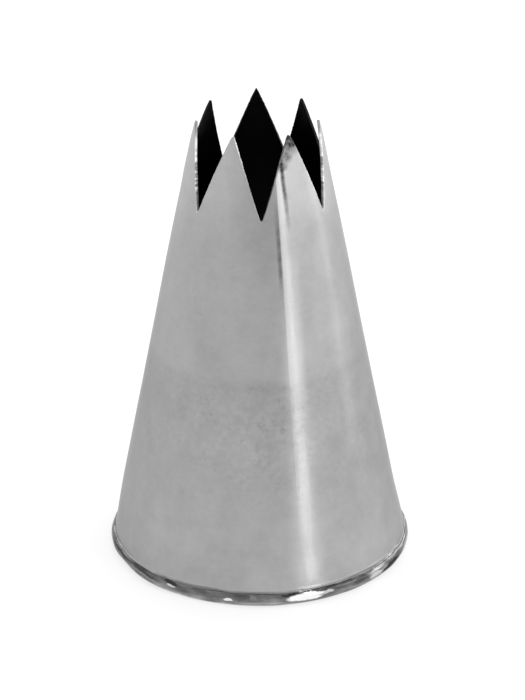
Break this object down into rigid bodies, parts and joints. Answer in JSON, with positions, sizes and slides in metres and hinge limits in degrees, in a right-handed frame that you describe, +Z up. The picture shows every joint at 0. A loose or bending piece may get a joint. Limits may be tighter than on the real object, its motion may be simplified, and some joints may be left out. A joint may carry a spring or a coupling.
{
  "type": "piping nozzle",
  "caption": "Open star piping nozzle: thin sheet cone with pointed teeth at the outlet, a rolled rim at the base and a welded seam.",
  "frame": {"origin": "centre of the ring that the rolled rim rests on", "axes": "+Z up the axis from the rim to the outlet, -Y to the front, where the picture is taken from"},
  "size_m": [0.0328, 0.0328, 0.0515],
  "materials": {
    "sheet": "satin stainless sheet, drawn and lightly brushed, polished on the rolled rim",
    "weld": "dressed weld, flush with the sheet, with a light heat tint near the outlet"
  },
  "bodies": {
    "root": {"cone_shell": "sheet", "seam_weld": "weld"}
  },
  "joints": []
}
